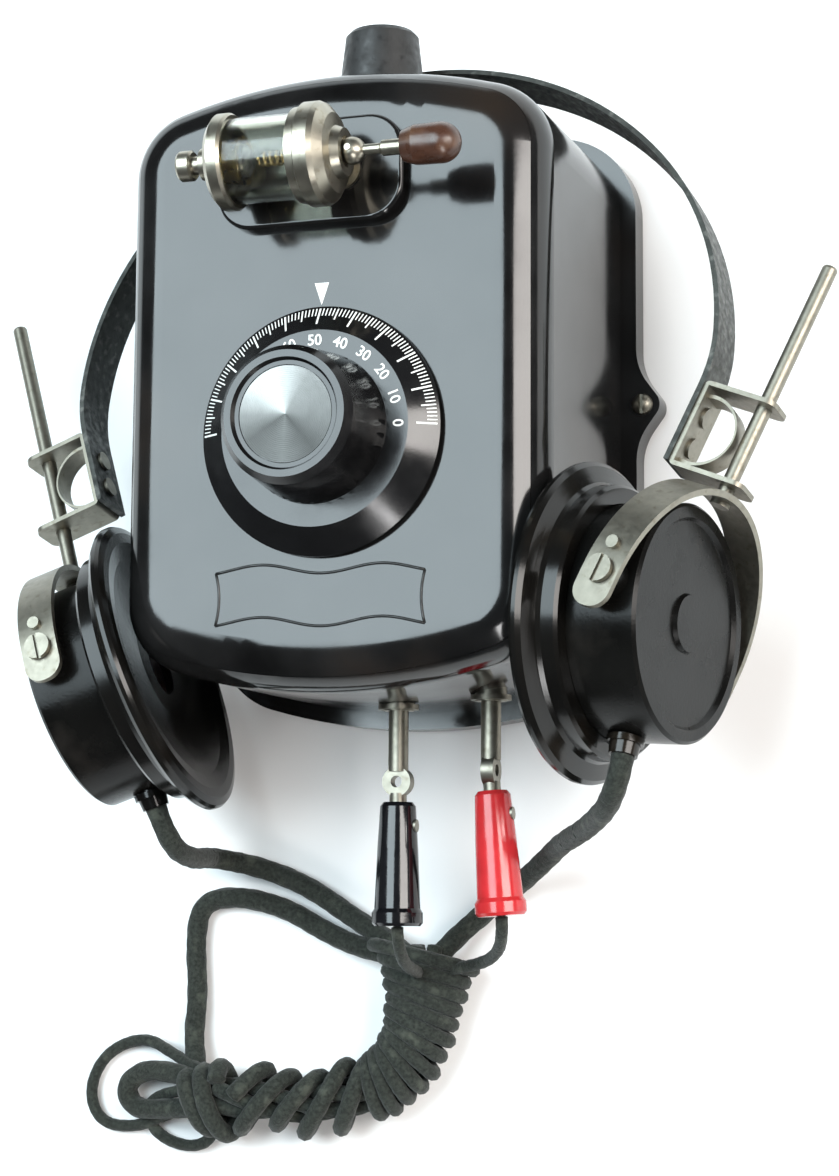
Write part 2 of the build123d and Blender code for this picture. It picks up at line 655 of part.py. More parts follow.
# receiver profiles: (distance outwards from the pivot, radius)
CAP_SECTION = [
    (-12.4, 5.5), (-14.0, 5.5), (-14.2, 11.0), (-15.6, 23.0), (CAP_FACE, 26.2), (CAP_FACE, 28.2),
    (-15.7, 29.6), (-15.0, CAP_R), (-14.2, CAP_R), (-13.4, 29.2), (-12.7, 27.4), (-12.2, 26.2),
    (-11.4, 25.7), (-8.9, 25.6), (-8.3, 25.0), (-8.3, SHELL_R + 0.15), (-12.4, SHELL_R + 0.15),
]
SHELL_INNER_END = SHELL_END - 2.6
SHELL_SECTION = [
    (SHELL_RIM, SHELL_R - SHELL_T), (SHELL_RIM, SHELL_R), (SHELL_END - 0.6, SHELL_R), (SHELL_END, SHELL_R - 0.6),
    (SHELL_END, SHELL_R - 2.6), (SHELL_END - 0.8, SHELL_R - 3.2), (SHELL_END - 0.8, 5.6), (SHELL_END, 5.2),
    (SHELL_END, 0), (SHELL_INNER_END, 0), (SHELL_INNER_END, SHELL_R - SHELL_T),
]
MAGNET_FACE = -3.2
MAGNET_SECTION = [(MAGNET_FACE, 8.0), (MAGNET_FACE, 17.5), (SHELL_INNER_END - 0.1, 17.5), (SHELL_INNER_END - 0.1, 8.0)]
POLE_STEP = 17.0
SCREW_OUT = FORK_R + FORK_T


def cup_section(side, points):
    """Half section of a receiver piece, from (distance outwards, radius) corners."""
    pivot, upward, outward, across = cup_axes(side)
    with BuildSketch(Plane(origin=pivot, x_dir=outward, z_dir=outward.cross(upward))) as half:
        with BuildLine():
            Polyline(*points, close=True)
        make_face()
    return half.sketch


def gland_axes(side):
    """Point on the receiver's axis under the cord gland, and the direction in which the cord leaves."""
    pivot, upward, outward, across = cup_axes(side)
    towards_table = across * side
    return (pivot + outward * GLAND_OUT,
            towards_table * sin(GLAND_TURN[side]) - upward * cos(GLAND_TURN[side]))


for side, name in SIDES.items():
    origin, up, out = side_axes(side)
    pivot, upward, outward, across = cup_axes(side)
    cup_axis = Axis(pivot, outward)
    fork_out = out * cos(SWIVEL[side]) + HEAD_N * sin(SWIVEL[side])
    gland_centre, cord_direction = gland_axes(side)

    with BuildPart() as rod:
        with BuildSketch(Plane(origin=pivot + up * (FORK_R + FORK_T + 0.06), z_dir=up)):
            Circle(ROD_R)
        extrude(amount=ROD_TOP[side] + REACH[side] - FORK_R - FORK_T)
        fillet(rod.faces().sort_by(Axis(pivot, up))[-1].edges(), 0.7)
        with BuildSketch(Plane(origin=pivot + up * (FORK_R - 0.06), z_dir=up)):
            Circle(1.0)
        extrude(amount=FORK_T + 0.2)
        with BuildSketch(Plane(origin=pivot + up * (FORK_R - 0.96), z_dir=up)):
            Circle(1.9)
        extrude(amount=0.9)
    save(rod, f"rod_{name}")

    with BuildPart() as fork:
        with BuildSketch(Plane(origin=pivot, x_dir=up.cross(fork_out), z_dir=fork_out)):
            Circle(FORK_R + FORK_T)
            Circle(FORK_R, mode=Mode.SUBTRACT)
            with Locations((0, -2 * FORK_R)):
                Rectangle(4 * FORK_R, 4 * FORK_R, mode=Mode.SUBTRACT)
            with Locations(*[(s * (FORK_R + FORK_T / 2), -FORK_FOOT / 2) for s in (-1, 1)]):
                Rectangle(FORK_T, FORK_FOOT)
        extrude(amount=FORK_W / 2, both=True)
        foot_ends = [edge for edge in fork.edges()
                     if abs(edge.length - FORK_T) < 1e-4 and (edge.center() - pivot).dot(up) < 1 - FORK_FOOT]
        fillet(foot_ends, 3.4)
        for s in (-1, 1):
            with BuildSketch(Plane(origin=pivot + across * (s * (FORK_R + 0.4)) + up * 5.4, z_dir=across * s)):
                Circle(1.2)
            extrude(amount=FORK_T + 0.1)
            with Locations(Plane(origin=pivot + across * (s * (FORK_R + 3)), z_dir=across * s)):
                Hole(1.56, depth=5)
        with Locations(Plane(origin=pivot + up * (FORK_R + 3), z_dir=up)):
            Hole(1.05, depth=5)
    save(fork, f"fork_{name}")

    with BuildPart() as shell:
        revolve(cup_section(side, SHELL_SECTION), axis=cup_axis)
        for s in (-1, 1):
            with BuildSketch(Plane(origin=pivot + across * (s * (SHELL_R - 1.0)), z_dir=across * s)):
                Circle(3.4)
            extrude(amount=FORK_R - 0.3 - SHELL_R + 1.0)
            with Locations(Plane(origin=pivot + across * (s * FORK_R), z_dir=across * s)):
                Hole(1.5, depth=5)
        with Locations(Plane(origin=gland_centre + cord_direction * (SHELL_R + 2), z_dir=cord_direction)):
            Hole(2.6, depth=5)
    save(shell, f"receiver_shell_{name}")

    with BuildPart() as ear_cap:
        revolve(cup_section(side, CAP_SECTION), axis=cup_axis)
    save(ear_cap, f"ear_cap_{name}")

    with BuildPart() as diaphragm:
        with BuildSketch(Plane(origin=pivot + outward * (SHELL_RIM - 0.38), z_dir=outward)):
            Circle(SHELL_R - 0.1)
        extrude(amount=0.34)
    save(diaphragm, f"diaphragm_{name}")

    with BuildPart() as magnet:
        revolve(cup_section(side, MAGNET_SECTION), axis=cup_axis)
        with BuildSketch(Plane(origin=pivot + outward * POLE_TIP, x_dir=across, z_dir=outward)):
            with GridLocations(0, POLE_STEP, 1, 2):
                Rectangle(9, 3)
        extrude(amount=MAGNET_FACE - POLE_TIP + 1)
    save(magnet, f"receiver_magnet_{name}")

    with BuildPart() as coils:
        with BuildSketch(Plane(origin=pivot + outward * (POLE_TIP + 1.5), x_dir=across, z_dir=outward)):
            with GridLocations(0, POLE_STEP, 1, 2):
                RectangleRounded(13, 7.4, 2)
                Rectangle(9.2, 3.2, mode=Mode.SUBTRACT)
        extrude(amount=MAGNET_FACE - POLE_TIP - 1.8)
    save(coils, f"receiver_coils_{name}")

    with BuildPart() as pivot_screws:
        for s in (-1, 1):
            with BuildSketch(Plane(origin=pivot + across * (s * (SHELL_R - 1.6)), z_dir=across * s)):
                Circle(1.5)
            extrude(amount=SCREW_OUT - SHELL_R + 1.8)
            with BuildSketch(Plane(origin=pivot + across * (s * (SCREW_OUT + 0.15)), z_dir=across * s)):
                Circle(2.6)
            extrude(amount=1.0)
            with Locations(Plane(origin=pivot + across * (s * (SCREW_OUT + 1.15)), x_dir=up, z_dir=across * s)):
                Box(6, 0.7, 1.2, mode=Mode.SUBTRACT)
    save(pivot_screws, f"pivot_screws_{name}")

    with BuildPart() as gland:
        with BuildSketch(Plane(origin=gland_centre + cord_direction * (SHELL_R - 1.7), z_dir=cord_direction)):
            Circle(2.55)
        extrude(amount=1.9)
        with BuildSketch(Plane(origin=gland_centre + cord_direction * (SHELL_R + 0.2), z_dir=cord_direction)):
            Circle(3.5)
        extrude(amount=1.2)
        with BuildSketch(Plane(origin=gland_centre + cord_direction * (SHELL_R + 1.4), z_dir=cord_direction)):
            Circle(2.9)
        extrude(amount=GLAND_END - 1.4, taper=6)
    save(gland, f"cord_gland_{name}")

# =====================================================================  telephone plugs
PLUG_EYE_Y = -75.2
PLUG_BODY_TOP = 4.0
PLUG_BODY_LENGTH = 24.0
SHANK_R = 1.7
PLUG_SCREW_AT = PLUG_BODY_TOP + 4.6
PLUG_DIRECTION = [Vector(0, -1, 0), Vector(sin(radians(RED_LEAN)), -cos(radians(RED_LEAN)), 0)]
PLUG_EYE = [Vector(x, PLUG_EYE_Y + shift, PHONE_Z) for x, shift in zip(PHONE_X, (0.0, 2.0))]
EYE_NORMAL = [Vector(0, 0, 1), Vector(1, 0, 0)]
PLUG_END = [eye + direction * (PLUG_BODY_TOP + PLUG_BODY_LENGTH)
            for eye, direction in zip(PLUG_EYE, PLUG_DIRECTION)]

with BuildPart() as plug_pins:
    for eye, socket_plane, normal, direction in zip(PLUG_EYE, PHONE_PLANES, EYE_NORMAL, PLUG_DIRECTION):
        with BuildSketch(socket_plane.offset(-12.0)):
            Circle(PIN_R - 0.03)
        extrude(amount=12.0 + (socket_plane.origin.Y - eye.Y) - 2.0)
        with BuildSketch(Plane(origin=eye, z_dir=normal)):
            Circle(2.9)
        extrude(amount=1.25, both=True)
        with BuildSketch(Plane(origin=eye, z_dir=normal)):
            Circle(1.15)
        extrude(amount=3, both=True, mode=Mode.SUBTRACT)
        with BuildSketch(Plane(origin=eye + direction * 2.2, z_dir=direction)):
            Circle(SHANK_R)
        extrude(amount=PLUG_BODY_TOP + 6)
save(plug_pins, "plug_pins")

for colour, eye, direction in zip(("black", "red"), PLUG_EYE, PLUG_DIRECTION):
    top = PLUG_BODY_TOP
    end = PLUG_BODY_TOP + PLUG_BODY_LENGTH
    sideways = Vector(0, 0, 1).cross(direction)
    with BuildPart() as plug_body:
        with BuildSketch(Plane(origin=eye, x_dir=direction, z_dir=(0, 0, 1))):
            with BuildLine():
                Polyline(
                    (top, 0), (top, 2.9), (top + 0.8, 3.5), (top + 9, 4.0), (end - 3.4, 4.5), (end - 2.6, 5.0),
                    (end - 0.6, 5.0), (end, 4.5), (end, 0), close=True,
                )
            make_face()
        revolve(axis=Axis(eye, direction))
        with BuildSketch(Plane(origin=eye + direction * 2.2, z_dir=direction)):
            Circle(SHANK_R)
        extrude(amount=PLUG_BODY_TOP + 6, mode=Mode.SUBTRACT)
        with Locations(Plane(origin=eye + direction * PLUG_SCREW_AT + sideways * 5, z_dir=sideways)):
            Hole(1.3, depth=3.4)
    save(plug_body, f"plug_body_{colour}")

with BuildPart() as plug_screws:
    for eye, direction in zip(PLUG_EYE, PLUG_DIRECTION):
        sideways = Vector(0, 0, 1).cross(direction)
        with BuildSketch(Plane(origin=eye + direction * PLUG_SCREW_AT + sideways * (SHANK_R + 0.05),
                               z_dir=sideways)):
            Circle(1.25)
        extrude(amount=2.2)
save(plug_screws, "plug_screws")

# =====================================================================  cords
FLOOR_Z = CORD_R
BUNDLE_Z = BUNDLE_R

# from each gland the cord falls towards the surface; this much of it moves with the receiver
EXIT_ROUTE = {
    -1: [(-42.5, -90.0, 25.0), (-44.5, -89.5, 14.0)],
    1: [(44.5, -84.5, 38.0), (34.5, -87.0, 22.0)],
}
# and the rest lies on the surface as far as the bundle
FLOOR_ROUTE = {
    -1: [(-45.2, -89.3, 7.5), (-37.0, -91.0, FLOOR_Z), (-26.0, -95.0, FLOOR_Z), (-16.0, -101.5, FLOOR_Z),
         (-5.5, -107.0, 5.0)],
    1: [(30.0, -89.0, 14.0), (22.0, -93.5, 4.5), (13.5, -99.5, FLOOR_Z), (6.0, -106.5, 5.0)],
}
for side, name in SIDES.items():
    gland_centre, cord_direction = gland_axes(side)
    exit_point = gland_centre + cord_direction * (SHELL_R + GLAND_END)
    first_run = exit_point + cord_direction * 8.0
    print(name, "cord exit", exit_point, "direction", cord_direction)
    save(tube([exit_point, first_run, *EXIT_ROUTE[side]], CORD_R), f"cord_{name}_exit")
    save(tube(FLOOR_ROUTE[side], CORD_R), f"cord_{name}")

# the bundle: the rest of both cords doubled up and bound round, lying in the shape of a J
BUNDLE_ROUTE = [
    (1.5, -107.0, BUNDLE_Z), (1.5, -119.0, BUNDLE_Z), (-2.0, -131.0, BUNDLE_Z), (-13.0, -138.0, BUNDLE_Z),
    (-28.0, -139.5, BUNDLE_Z), (-44.0, -138.0, BUNDLE_Z),
]
save(tube(BUNDLE_ROUTE, BUNDLE_R), "cord_bundle")

# leads from the plugs' rear ends into the top of the bundle
LEAD_ROUTES = [
    [PLUG_END[0], PLUG_END[0] + Vector(0, -3.5, -0.3), (2.6, -111.5, 22.0), (1.5, -112.5, 10.0)],
    [PLUG_END[1], PLUG_END[1] + Vector(0.3, -3.5, -0.3), (23.0, -109.0, 21.0), (15.0, -111.5, 11.5),
     (5.0, -113.0, 8.0)],
]
leads = [tube(route, LEAD_R) for route in LEAD_ROUTES]
with BuildPart() as plug_leads:
    for lead in leads:
        add(lead.part)
save(plug_leads, "plug_leads")

# loops that stand out of the bundle and its end knot
LOOP_ROUTES = [
    ([(-3.0, -109.5, 5.0), (-13.0, -107.5, 3.5), (-22.0, -103.5, FLOOR_Z), (-31.0, -97.0, FLOOR_Z),
      (-42.0, -93.5, FLOOR_Z), (-50.0, -96.0, FLOOR_Z), (-51.5, -106.0, FLOOR_Z), (-50.5, -118.0, FLOOR_Z),
      (-53.0, -128.0, FLOOR_Z), (-50.0, -136.0, 5.0)], CORD_R),
    ([(-47.0, -134.0, 6.0), (-55.0, -130.0, 4.0), (-63.0, -126.5, LEAD_R), (-72.0, -130.0, LEAD_R),
      (-76.0, -138.0, LEAD_R), (-73.0, -145.0, LEAD_R), (-64.0, -145.5, LEAD_R), (-56.0, -142.0, 3.0),
      (-47.0, -139.5, 6.0)], LEAD_R),
    ([(-44.0, -141.0, 5.0), (-46.0, -147.0, 2.5), (-52.0, -149.5, LEAD_R), (-60.0, -147.0, LEAD_R),
      (-63.0, -141.0, LEAD_R), (-56.0, -137.5, 3.5), (-48.0, -137.0, 6.0)], LEAD_R),
]
loops = [tube(route, radius) for route, radius in LOOP_ROUTES]
with BuildPart() as cord_loops:
    for loop in loops:
        add(loop.part)
save(cord_loops, "cord_loops")
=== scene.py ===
"""Looks for the crystal radio set with its headset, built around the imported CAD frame."""

import math

import bpy
import numpy as np
from mathutils import Matrix, Vector


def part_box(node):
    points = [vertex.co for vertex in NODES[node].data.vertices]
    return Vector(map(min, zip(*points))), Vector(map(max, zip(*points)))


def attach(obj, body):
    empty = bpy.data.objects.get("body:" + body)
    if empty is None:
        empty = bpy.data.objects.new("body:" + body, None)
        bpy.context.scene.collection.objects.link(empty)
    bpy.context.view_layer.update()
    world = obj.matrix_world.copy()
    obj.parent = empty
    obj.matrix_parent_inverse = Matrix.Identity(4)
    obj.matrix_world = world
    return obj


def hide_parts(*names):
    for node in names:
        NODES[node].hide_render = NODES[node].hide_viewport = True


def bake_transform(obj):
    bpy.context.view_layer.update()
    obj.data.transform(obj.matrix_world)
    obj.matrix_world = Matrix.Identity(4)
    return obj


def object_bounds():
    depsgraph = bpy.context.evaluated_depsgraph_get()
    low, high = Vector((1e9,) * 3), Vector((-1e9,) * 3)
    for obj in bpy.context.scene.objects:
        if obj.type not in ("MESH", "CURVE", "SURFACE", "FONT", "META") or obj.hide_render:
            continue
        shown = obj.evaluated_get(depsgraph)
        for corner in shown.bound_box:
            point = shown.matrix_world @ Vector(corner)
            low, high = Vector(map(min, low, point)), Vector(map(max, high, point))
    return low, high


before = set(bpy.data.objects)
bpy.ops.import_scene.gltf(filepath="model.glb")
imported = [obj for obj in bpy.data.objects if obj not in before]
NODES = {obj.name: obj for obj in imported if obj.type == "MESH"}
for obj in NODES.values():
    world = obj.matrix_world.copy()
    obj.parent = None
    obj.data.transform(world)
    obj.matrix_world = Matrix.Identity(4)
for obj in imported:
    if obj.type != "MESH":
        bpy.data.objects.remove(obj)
cad_low, cad_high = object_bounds()
MM = 0.001
FULL_TURN = 2 * math.pi

# ---------------------------------------------------------------- camera and light
CAMERA_AT = Vector((0.178, -0.1035, 0.524))
CAMERA_YAW, CAMERA_PITCH, CAMERA_ROLL = (math.radians(a) for a in (19.3, 7.8, 0.4))
CAMERA_SHIFT = (0.0106, -0.0221)
CAMERA_CLIP = (0.01, 20.0)
FOCAL_PIXELS, IMAGE_HEIGHT, SENSOR = 2670.0, 1176.0, 36.0

SET_MIDDLE = (0, 0, 0.03)
WORLD_COLOR, WORLD_STRENGTH = (0.9, 0.95, 1.0), 0.10
BACKDROP_COLOR = (0.93, 0.94, 0.95)


def make_camera():
    data = bpy.data.cameras.new("camera")
    data.sensor_fit = "VERTICAL"
    data.sensor_height = SENSOR
    data.sensor_width = SENSOR
    data.lens = SENSOR * FOCAL_PIXELS / IMAGE_HEIGHT
    data.shift_x, data.shift_y = CAMERA_SHIFT
    data.clip_start, data.clip_end = CAMERA_CLIP
    turn = (
        Matrix.Rotation(CAMERA_YAW, 4, "Y")
        @ Matrix.Rotation(CAMERA_PITCH, 4, "X")
        @ Matrix.Rotation(CAMERA_ROLL, 4, "Z")
    )
    camera = bpy.data.objects.new("camera", data)
    camera.matrix_world = Matrix.Translation(CAMERA_AT) @ turn
    bpy.context.scene.collection.objects.link(camera)
    bpy.context.scene.camera = camera


def area_light(name, at, aim, size, power, color, diffuse=True, glossy=True):
    data = bpy.data.lights.new(name, "AREA")
    data.shape = "RECTANGLE"
    data.size, data.size_y = size
    data.energy = power
    data.color = color
    light = bpy.data.objects.new(name, data)
    light.location = at
    light.visible_diffuse, light.visible_glossy = diffuse, glossy
    light.rotation_euler = (Vector(aim) - Vector(at)).to_track_quat("-Z", "Y").to_euler()
    bpy.context.scene.collection.objects.link(light)


def make_world():
    """A faint light from all round. The camera's own rays see a pale backdrop in its place."""
    world = bpy.data.worlds.new("studio")
    bpy.context.scene.world = world
    world.use_nodes = True
    nodes, links = world.node_tree.nodes, world.node_tree.links
    fill = nodes["Background"]
    fill.inputs["Color"].default_value = (*WORLD_COLOR, 1)
    fill.inputs["Strength"].default_value = WORLD_STRENGTH
    backdrop = nodes.new("ShaderNodeBackground")
    backdrop.inputs["Color"].default_value = (*BACKDROP_COLOR, 1)
    rays = nodes.new("ShaderNodeLightPath")
    either = nodes.new("ShaderNodeMixShader")
    links.new(rays.outputs["Is Camera Ray"], either.inputs["Fac"])
    links.new(fill.outputs["Background"], either.inputs[1])
    links.new(backdrop.outputs["Background"], either.inputs[2])
    links.new(either.outputs["Shader"], nodes["World Output"].inputs["Surface"])


make_camera()
area_light("front_soft", (-0.40, 0.25, 1.05), SET_MIDDLE, size=(0.75, 1.0), power=22, color=(0.80, 0.94, 1.0))
area_light("side_soft", (0.95, 0.15, 0.75), SET_MIDDLE, size=(0.5, 0.9), power=18, color=(1.0, 0.96, 0.92))
area_light("low_soft", (0.1, -1.0, 0.6), (0, -0.05, 0.03), size=(0.9, 0.4), power=6, color=(1.0, 0.97, 0.94),
           glossy=False)
area_light("strip_gloss", (0.30, -0.62, 0.50), (0.05, -0.05, 0.04), size=(0.10, 0.45), power=2.2, color=(1, 1, 1),
           diffuse=False)
make_world()
bpy.context.scene.view_settings.view_transform = "Standard"

# ---------------------------------------------------------------- materials
MOTTLE_RAMP = (0.3, 0.7)
WEAR_STARTS, WEAR_IS_FULL = 0.62, 0.74
GLOSS_NOISE_RATIO = 1.7
BUMP_DEPTH = 0.0002
GLASS_IOR = 1.4


def ramp(tree, source, stops):
    """A colour ramp on a socket, with (position, colour) stops. Gives its colour socket."""
    made = tree.nodes.new("ShaderNodeValToRGB")
    elements = made.color_ramp.elements
    while len(elements) < len(stops):
        elements.new(0.5)
    for element, (at, color) in zip(elements, stops):
        element.position = at
        element.color = (*color, 1)
    tree.links.new(source, made.inputs["Fac"])
    return made.outputs["Color"]


def bump_from(tree, height, strength, depth):
    """Bends the surface's normal by a height socket."""
    bumped = tree.nodes.new("ShaderNodeBump")
    bumped.inputs["Strength"].default_value = strength
    bumped.inputs["Distance"].default_value = depth
    tree.links.new(height, bumped.inputs["Height"])
    tree.links.new(bumped.outputs["Normal"], tree.nodes["Principled BSDF"].inputs["Normal"])


def material(name, base, rough, metal=0.0, spread=0.35, mottle=180.0, wear=0.0, wear_scale=60.0,
             wear_color=None, bump=0.05, grain=2500.0, rough_spread=0.35, stretch=(1, 1, 1),
             sheen=0.0, specular=0.5):
    """A Principled surface with mottled colour, worn patches, uneven gloss and a fine bump."""
    made = bpy.data.materials.new(name)
    made.use_nodes = True
    tree = made.node_tree
    nodes, links = tree.nodes, tree.links
    shader = nodes["Principled BSDF"]
    place = nodes.new("ShaderNodeTexCoord")
    mapping = nodes.new("ShaderNodeMapping")
    mapping.inputs["Scale"].default_value = stretch
    links.new(place.outputs["Object"], mapping.inputs["Vector"])

    def noise(scale, detail):
        made_noise = nodes.new("ShaderNodeTexNoise")
        made_noise.inputs["Scale"].default_value = scale
        made_noise.inputs["Detail"].default_value = detail
        links.new(mapping.outputs["Vector"], made_noise.inputs["Vector"])
        return made_noise.outputs["Fac"]

    dark = tuple(c * (1 - spread) for c in base)
    light = tuple(min(1.0, c * (1 + spread)) for c in base)
    color = ramp(tree, noise(mottle, 4.0), list(zip(MOTTLE_RAMP, (dark, light))))
    if wear > 0:
        edges = (WEAR_STARTS - wear, WEAR_IS_FULL - wear * 0.5)
        mask = ramp(tree, noise(wear_scale, 8.0), list(zip(edges, ((0, 0, 0), (1, 1, 1)))))
        mix = nodes.new("ShaderNodeMixRGB")
        links.new(mask, mix.inputs["Fac"])
        links.new(color, mix.inputs["Color1"])
        mix.inputs["Color2"].default_value = (*(wear_color or light), 1)
        color = mix.outputs["Color"]
    links.new(color, shader.inputs["Base Color"])
    low, high = rough * (1 - rough_spread), min(1.0, rough * (1 + rough_spread))
    gloss = ramp(tree, noise(mottle * GLOSS_NOISE_RATIO, 6.0), list(zip(MOTTLE_RAMP, ((low,) * 3, (high,) * 3))))
    links.new(gloss, shader.inputs["Roughness"])
    if bump > 0:
        bump_from(tree, noise(grain, 2.0), bump, BUMP_DEPTH)
    shader.inputs["Metallic"].default_value = metal
    shader.inputs["Sheen Weight"].default_value = sheen
    shader.inputs["Specular IOR Level"].default_value = specular
    return made


def glass_material():
    made = material("old_glass", (0.80, 0.82, 0.74), 0.14, spread=0.04, bump=0.03, grain=300.0)
    shader = made.node_tree.nodes["Principled BSDF"]
    shader.inputs["Transmission Weight"].default_value = 1.0
    shader.inputs["IOR"].default_value = GLASS_IOR
    return made


def spun_material():
    """Bright spun metal with turning marks: rings around the dial's axis. Soft radial sectors of painted reflection
    lighten and darken its colour by angle.
    """
    ring_scale, ring_distortion, ring_bump, ring_depth = 900.0, 1.0, 0.25, 0.0001
    warmth = 0.97
    # painted reflection: the metal's grey by angle around the axis, lighter where the spun disc's streaked highlights
    # fall
    painted_reflection_sectors = [(0.0, 0.10), (0.09, 0.05), (0.24, 0.075), (0.36, 0.04), (0.52, 0.09), (0.66, 0.12), (0.80, 0.26),
               (0.90, 0.22), (1.0, 0.10)]
    made = material("spun_metal", (0.30, 0.30, 0.29), 0.40, metal=1.0, mottle=300, bump=0.0, rough_spread=0.05)
    tree = made.node_tree
    nodes, links = tree.nodes, tree.links
    low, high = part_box("knob_disc")
    place = nodes.new("ShaderNodeTexCoord")
    centre = nodes.new("ShaderNodeVectorMath")
    centre.operation = "SUBTRACT"
    centre.inputs[1].default_value = (low + high) / 2
    links.new(place.outputs["Object"], centre.inputs[0])
    wave = nodes.new("ShaderNodeTexWave")
    wave.wave_type, wave.rings_direction = "RINGS", "Z"
    wave.inputs["Scale"].default_value = ring_scale
    wave.inputs["Distortion"].default_value = ring_distortion
    links.new(centre.outputs["Vector"], wave.inputs["Vector"])
    bump_from(tree, wave.outputs["Fac"], ring_bump, ring_depth)
    # the angle around the axis picks the grey of the painted reflection sectors
    gradient = nodes.new("ShaderNodeTexGradient")
    gradient.gradient_type = "RADIAL"
    links.new(centre.outputs["Vector"], gradient.inputs["Vector"])
    stops = [(at, (grey, grey, grey * warmth)) for at, grey in painted_reflection_sectors]
    color = ramp(tree, gradient.outputs["Fac"], stops)
    links.new(color, nodes["Principled BSDF"].inputs["Base Color"])
    return made


CASE = material("polished_bakelite", (0.0070, 0.0068, 0.0068), 0.13, spread=0.75, mottle=48, wear=0.07,
                wear_scale=22, wear_color=(0.017, 0.012, 0.009), bump=0.02, grain=900)
DIAL = material("dial_bakelite", (0.0045, 0.0045, 0.0048), 0.18, mottle=80, wear=0.03, wear_scale=90,
                wear_color=(0.012, 0.012, 0.012), bump=0.03)
RECEIVER = material("receiver_bakelite", (0.004, 0.0037, 0.0033), 0.15, spread=0.4, mottle=50, wear=0.06,
                    wear_scale=40, wear_color=(0.012, 0.009, 0.006), bump=0.03, grain=1200, specular=0.3)
SHELL = material("receiver_shell_bakelite", (0.004, 0.0039, 0.0036), 0.24, spread=0.4, mottle=60, wear=0.08,
                 wear_scale=90, wear_color=(0.010, 0.009, 0.008), bump=0.10, grain=1600, specular=0.14)
BLACK_PLUG = material("black_plug_gloss", (0.005, 0.005, 0.006), 0.12, mottle=200, bump=0.03)
RED_PLUG = material("red_plug_gloss", (0.46, 0.022, 0.026), 0.16, spread=0.12, mottle=220, wear=0.04,
                    wear_scale=160, wear_color=(0.40, 0.02, 0.02), bump=0.04)
RUBBER = material("aerial_cap_matt", (0.012, 0.012, 0.012), 0.5, mottle=300, bump=0.1, grain=3500)
BROWN = material("brown_handle", (0.048, 0.020, 0.012), 0.30, spread=0.3, mottle=260, wear=0.08, wear_scale=200,
                 wear_color=(0.09, 0.045, 0.026), bump=0.06)
NICKEL = material("aged_nickel_plate", (0.25, 0.235, 0.195), 0.44, metal=1.0, spread=0.10, mottle=520, wear=0.05,
                  wear_scale=640, wear_color=(0.19, 0.17, 0.13), bump=0.04, grain=5200, rough_spread=0.12)
WARM_NICKEL = material("warm_nickel", (0.36, 0.335, 0.275), 0.33, metal=1.0, spread=0.10, mottle=260, wear=0.04,
                       wear_scale=480, wear_color=(0.24, 0.21, 0.155), bump=0.03, grain=3600, rough_spread=0.15)
BAND = material("blued_band", (0.040, 0.042, 0.038), 0.50, metal=0.55, spread=0.3, mottle=420, wear=0.08,
                wear_scale=520, wear_color=(0.11, 0.11, 0.10), bump=0.15, grain=2600)
BRASS = material("turned_brass", (0.60, 0.45, 0.22), 0.3, metal=1.0, mottle=300, bump=0.08)
VANES = material("bare_sheet", (0.72, 0.72, 0.72), 0.35, metal=1.0, spread=0.12, mottle=300, bump=0.08)
CARD = material("waxed_card", (0.20, 0.10, 0.045), 0.5, mottle=200, bump=0.3, grain=900)
WINDING = material("covered_wire", (0.06, 0.12, 0.04), 0.75, mottle=500, bump=0.5, grain=1800, stretch=(1, 1, 6))
IRON = material("blued_iron", (0.12, 0.12, 0.125), 0.4, metal=1.0, mottle=300, wear=0.1,
                wear_color=(0.16, 0.08, 0.04), bump=0.15)
ORE = material("galena", (0.20, 0.20, 0.21), 0.35, metal=0.7, spread=0.7, mottle=700, bump=1.0, grain=900)
GLASS = glass_material()
WHITE = material("white_fill", (0.80, 0.80, 0.77), 0.5, spread=0.08, mottle=600, bump=0.05)
ENGRAVED = material("engraved_line", (0.004, 0.004, 0.004), 0.45, mottle=300, bump=0.05)
BRAID = material("braided_cotton", (0.020, 0.0235, 0.0195), 0.88, spread=0.5, mottle=1500, wear=0.06,
                 wear_scale=300, wear_color=(0.05, 0.056, 0.045), bump=0.8, grain=4200, sheen=0.12, specular=0.15)
SPUN = spun_material()


def both(*stems):
    """The left and the right node of each stem."""
    return [f"{stem}_{side}" for side in ("left", "right") for stem in stems]


FINISH = {
    CASE: ["case_shell", "back_cover"],
    DIAL: ["tuning_knob"],
    SPUN: ["knob_disc"],
    RECEIVER: both("ear_cap", "cord_gland"),
    SHELL: both("receiver_shell"),
    RUBBER: ["aerial_plug_cap"],
    BLACK_PLUG: ["plug_body_black"],
    RED_PLUG: ["plug_body_red"],
    BROWN: ["whisker_handle"],
    BAND: ["headband"],
    BRASS: ["tuning_shaft", "tuning_bush", "cat_whisker", "aerial_plug_pin", "crystal_cup"],
    VANES: ["condenser_frame", "condenser_rotor"],
    CARD: ["coil_former"],
    WINDING: ["coil_winding"] + both("receiver_coils"),
    IRON: both("diaphragm", "receiver_magnet"),
    ORE: ["crystal"],
    GLASS: ["detector_glass"],
    WARM_NICKEL: ["detector_cap_left", "detector_cap_right", "crystal_screw", "swivel_ball", "whisker_rod",
                  "detector_pins", "detector_sockets"],
    NICKEL: ["case_screws", "panel_sockets", "socket_nuts", "rod_clips", "clip_rivets", "leaf_springs",
             "plug_pins", "plug_screws"] + both("rod", "fork", "pivot_screws"),
}
for finish, names in FINISH.items():
    for name in names:
        mesh = NODES[name].data
        mesh.materials.clear()
        mesh.materials.append(finish)

# ---------------------------------------------------------------- mesh helpers
ROUTE_STEP = 0.3 * MM
TUBE_SIDES = 24
PLAITS, PITCH_TO_RADIUS = 8, 3.2
RELIEF_DEPTH, RELIEF_MEAN = 0.045, 0.8
END_SIZE = 0.55


